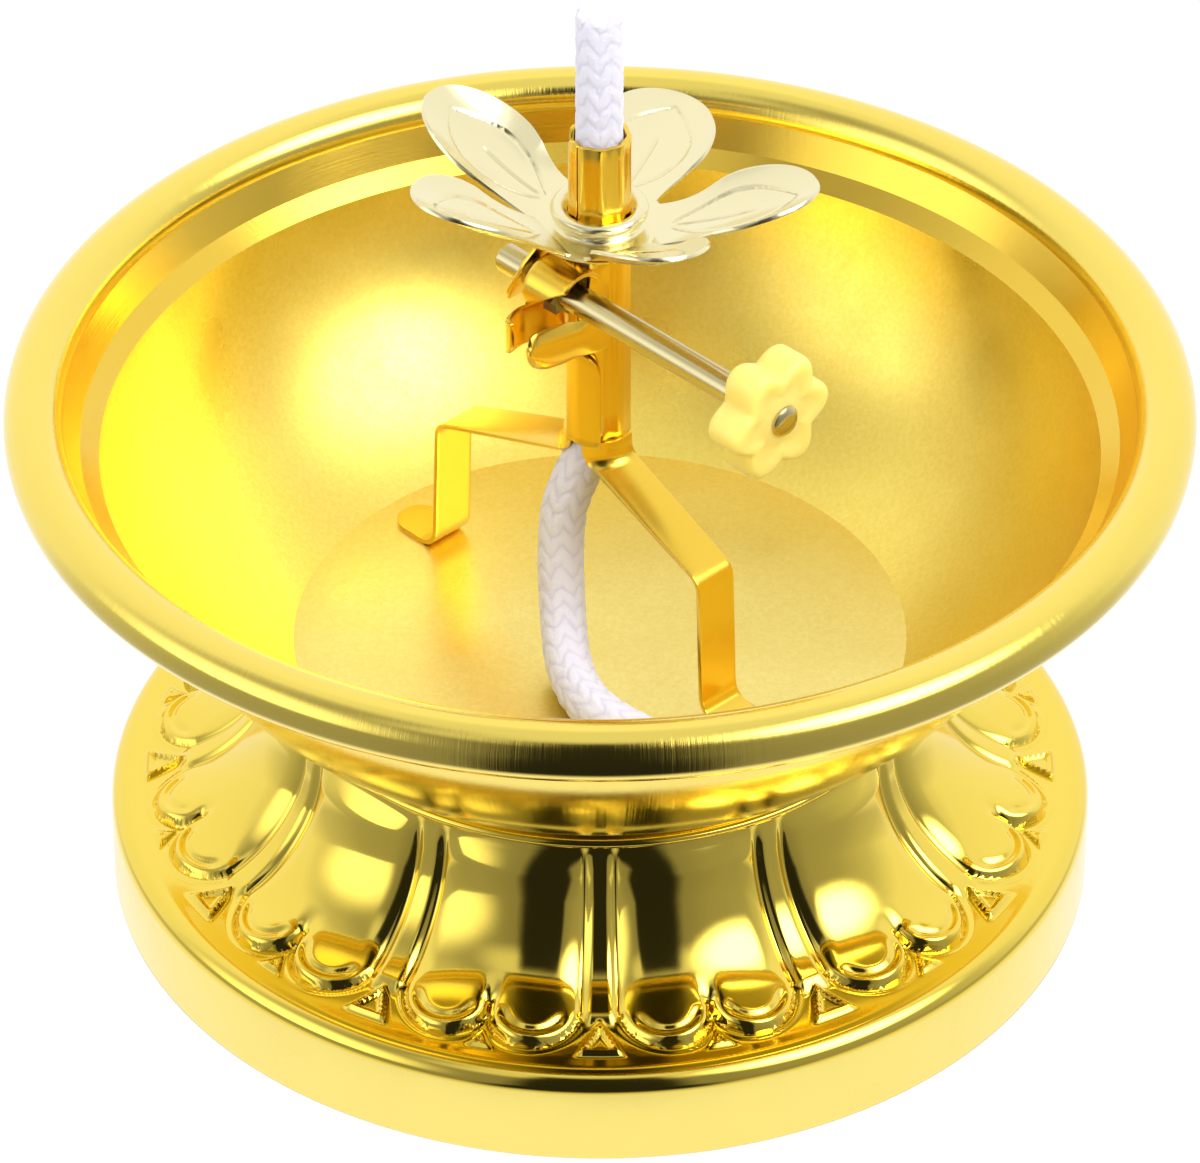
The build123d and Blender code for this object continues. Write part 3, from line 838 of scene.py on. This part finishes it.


# Soft cotton: cool white on the crowns and fuzzy, with painted shade that makes it a little greyer where the
# yarns dive under each other.
cotton, tree, shader, place = new_material("soft braided cotton")
yarn_bulge_for_painted_shade = add(tree, "ShaderNodeAttribute", attribute_name="yarn_bulge_for_painted_shade")
depth = add(tree, "ShaderNodeMapRange", {"Value": yarn_bulge_for_painted_shade.outputs["Fac"], "From Min": 0.15, "From Max": 0.75})
painted_crease_tint = add(tree, "ShaderNodeMix", {"Factor": depth.outputs[0]}, data_type="RGBA")
# Painted shade: the greyer colour goes in the dips, the paler one on the crowns.
painted_crease_tint.inputs[6].default_value = linear("#DAD8EA")
painted_crease_tint.inputs[7].default_value = linear("#EAE8F8")
tree.links.new(painted_crease_tint.outputs[2], shader.inputs["Base Color"])
shader.inputs["Roughness"].default_value = 0.95
shader.inputs["Sheen Weight"].default_value = 0.3
shader.inputs["Sheen Roughness"].default_value = 0.5
shader.inputs["Subsurface Weight"].default_value = 0.2
shader.inputs["Subsurface Radius"].default_value = (1.0, 1.0, 1.0)
shader.inputs["Subsurface Scale"].default_value = 0.0008
fibre = {"Vector": place, "Scale": 1 / (0.22 * MM), "Detail": 5.0, "Roughness": 0.8}
fibre = add(tree, "ShaderNodeTexNoise", fibre)
bump = add(tree, "ShaderNodeBump", {"Height": fibre.outputs["Fac"], "Strength": 1.0, "Distance": 0.12 * MM})
tree.links.new(bump.outputs["Normal"], shader.inputs["Normal"])

stem_path = [Vector((burner_x * MM, burner_y * MM, z * MM)) for z in (stem_start, wick_top - 0.05)]
wick_stem = braid("wick_stem", stem_path, 60.0)
wick_stem.data.materials.append(cotton)
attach(wick_stem, "wick")
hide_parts("wick")

wick_end = braid("wick_end", tail_path, 0.0)
wick_end.data.materials.append(cotton)
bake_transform(wick_end)
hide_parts("wick_tail")

# Studio. Pale floor and a bright surround that dims towards the front, with a dark gap where the camera
# stands; the gap shows as the dark panes in the polished foot. A screen hangs over the gap, two round ones
# glow at the sides, and two soft lamps that the metal does not mirror fill the cotton and the plastic.
bpy.ops.mesh.primitive_plane_add(size=4.0, location=(0, 0, 0))
floor = bpy.context.object
floor.name = "floor"


def front_share(tree, way):
    """How far a level direction or place faces the front: 1 straight to the front, -1 to the back."""
    level = add(tree, "ShaderNodeVectorMath", {0: way, 1: (1, 1, 0)}, operation="MULTIPLY")
    level = add(tree, "ShaderNodeVectorMath", {0: level.outputs[0]}, operation="NORMALIZE")
    facing = {0: level.outputs[0], 1: (0, -1, 0)}
    return add(tree, "ShaderNodeVectorMath", facing, operation="DOT_PRODUCT").outputs[1]


def math_node(tree, kind, first, second):
    """Result of one step of arithmetic."""
    return add(tree, "ShaderNodeMath", {0: first, 1: second}, operation=kind).outputs[0]


def soft_step(tree, value, low, high, start=0.0, end=1.0):
    """Smooth step between two values."""
    inputs = {"Value": value, "From Min": low, "From Max": high, "To Min": start, "To Max": end}
    return add(tree, "ShaderNodeMapRange", inputs, interpolation_type="SMOOTHSTEP").outputs[0]


def surround(tree, way):
    """Brightness of the studio in a level direction, and the share of the camera's gap in it."""
    facing = front_share(tree, way)
    inputs = {"Value": facing, "From Min": -1.0, "From Max": 1.0}
    front = add(tree, "ShaderNodeMapRange", inputs).outputs[0]
    walls = add(tree, "ShaderNodeValToRGB", {"Fac": front})
    stops = [(0.0, 1.0), (0.35, 0.92), (0.5, 0.6), (0.7, 0.4), (0.9, 0.33), (0.96, 0.26)]
    elements = walls.color_ramp.elements
    for index, (spot, value) in enumerate(stops):
        stop = elements[index] if index < 2 else elements.new(spot)
        stop.position = spot
        stop.color = grey(value)
    return walls.outputs["Color"], soft_step(tree, facing, 0.93, 0.97)


def mixed(tree, share, first, second):
    """Colour between two colours."""
    return add(tree, "ShaderNodeMix", {"Factor": share, 6: first, 7: second}, data_type="RGBA").outputs[2]


def grey(value):
    """Neutral colour of one linear value."""
    return (value, value, value, 1)


white = grey(1)
dark = grey(0.02)
studio_level = 1.08
table_near, table_far = 0.05, 0.07
table_share = 0.85
pale, tree, shader, place = new_material("white studio table")
shader.inputs["Base Color"].default_value = grey(0.9)
shader.inputs["Roughness"].default_value = 0.9
from_lamp = add(tree, "ShaderNodeVectorMath", {0: place}, operation="LENGTH").outputs[1]
far = soft_step(tree, from_lamp, table_near, table_far)
walls, gap = surround(tree, place)
mirrored = mixed(tree, far, white, mixed(tree, gap, walls, dark))
ray = add(tree, "ShaderNodeLightPath")
shown = mixed(tree, ray.outputs["Is Camera Ray"], mirrored, white)
glow = add(tree, "ShaderNodeEmission", {"Color": shown, "Strength": studio_level})
seen = math_node(tree, "MULTIPLY", ray.outputs["Is Camera Ray"], table_share)
seen = math_node(tree, "MAXIMUM", seen, ray.outputs["Is Glossy Ray"])
seen = math_node(tree, "MAXIMUM", seen, ray.outputs["Is Transmission Ray"])
blend = add(tree, "ShaderNodeMixShader", {"Fac": seen, 1: shader.outputs[0], 2: glow.outputs[0]})
tree.links.new(blend.outputs[0], tree.nodes["Material Output"].inputs["Surface"])
floor.data.materials.append(pale)

world = bpy.data.worlds.new("studio")
bpy.context.scene.world = world
world.use_nodes = True
tree = world.node_tree
way = add(tree, "ShaderNodeTexCoord").outputs["Generated"]
height = add(tree, "ShaderNodeSeparateXYZ", {0: way}).outputs["Z"]
walls, gap = surround(tree, way)
screen = soft_step(tree, front_share(tree, way), 0.5, 0.85)
screen = math_node(tree, "MULTIPLY", screen, soft_step(tree, height, 0.60, 0.80))
sky = mixed(tree, screen, walls, grey(0.72))
sky = mixed(tree, soft_step(tree, height, 0.88, 0.98), sky, grey(0.8))
gap = math_node(tree, "MULTIPLY", gap, soft_step(tree, height, 0.82, 0.95, start=1.0, end=0.0))
tree.links.new(mixed(tree, gap, sky, dark), tree.nodes["Background"].inputs["Color"])
tree.nodes["Background"].inputs["Strength"].default_value = studio_level


def direction(azimuth, elevation):
    """Unit vector of an azimuth and an elevation in degrees."""
    turn = math.radians(azimuth)
    lift = math.radians(elevation)
    return Vector((math.cos(lift) * math.cos(turn), math.cos(lift) * math.sin(turn), math.sin(lift)))


def soft_glow(azimuth, elevation, spread, level):
    """Brightness of a round screen in the surround that fades to its edge, spread in degrees."""
    toward = {0: way, 1: direction(azimuth, elevation)}
    toward = add(tree, "ShaderNodeVectorMath", toward, operation="DOT_PRODUCT").outputs[1]
    fade = soft_step(tree, toward, math.cos(math.radians(spread)), 1.0)
    fade = math_node(tree, "POWER", fade, 2.0)
    return math_node(tree, "MULTIPLY", fade, level)


right_screen = soft_glow(-29, 44, 30, 7.5)
left_screen = soft_glow(-155, 12, 40, 1.7)
screens = add(tree, "ShaderNodeBackground", {"Strength": math_node(tree, "ADD", right_screen, left_screen)})
total = add(tree, "ShaderNodeAddShader", {0: tree.nodes["Background"].outputs[0], 1: screens.outputs[0]})
tree.links.new(total.outputs[0], tree.nodes["World Output"].inputs["Surface"])


def soft_lamp(name, azimuth, elevation, distance, size, power):
    """Round lamp aimed at the foot's middle that fills the cotton and the plastic, unseen in the metal."""
    lamp = bpy.data.lights.new(name, "AREA")
    lamp.shape = "DISK"
    lamp.size = size
    lamp.energy = power
    holder = bpy.data.objects.new(name, lamp)
    holder.location = direction(azimuth, elevation) * distance
    holder.rotation_euler = (-direction(azimuth, elevation)).to_track_quat("-Z", "Y").to_euler()
    holder.visible_glossy = False
    bpy.context.collection.objects.link(holder)


soft_lamp("right_lamp", -50, 50, 0.9, 0.5, 2.0)
soft_lamp("left_lamp", -130, 50, 0.9, 0.5, 2.0)

# Camera at the photograph's angle, with the focal length solved in pixels of its width.
camera_pitch = 0.637430
focal_pixels = 8472.7
photo_width = 1200
sensor_mm = 36.0
camera = bpy.data.cameras.new("camera")
camera.sensor_fit = "HORIZONTAL"
camera.sensor_width = sensor_mm
camera.lens = focal_pixels * sensor_mm / photo_width
camera.clip_start = 0.01
camera_object = bpy.data.objects.new("camera", camera)
camera_object.location = (0, -0.57984, 0.45804)
camera_object.rotation_euler = (math.pi / 2 - camera_pitch, 0, 0)
bpy.context.collection.objects.link(camera_object)
bpy.context.scene.camera = camera_object
bpy.context.scene.view_settings.view_transform = "Standard"

bpy.context.view_layer.update()
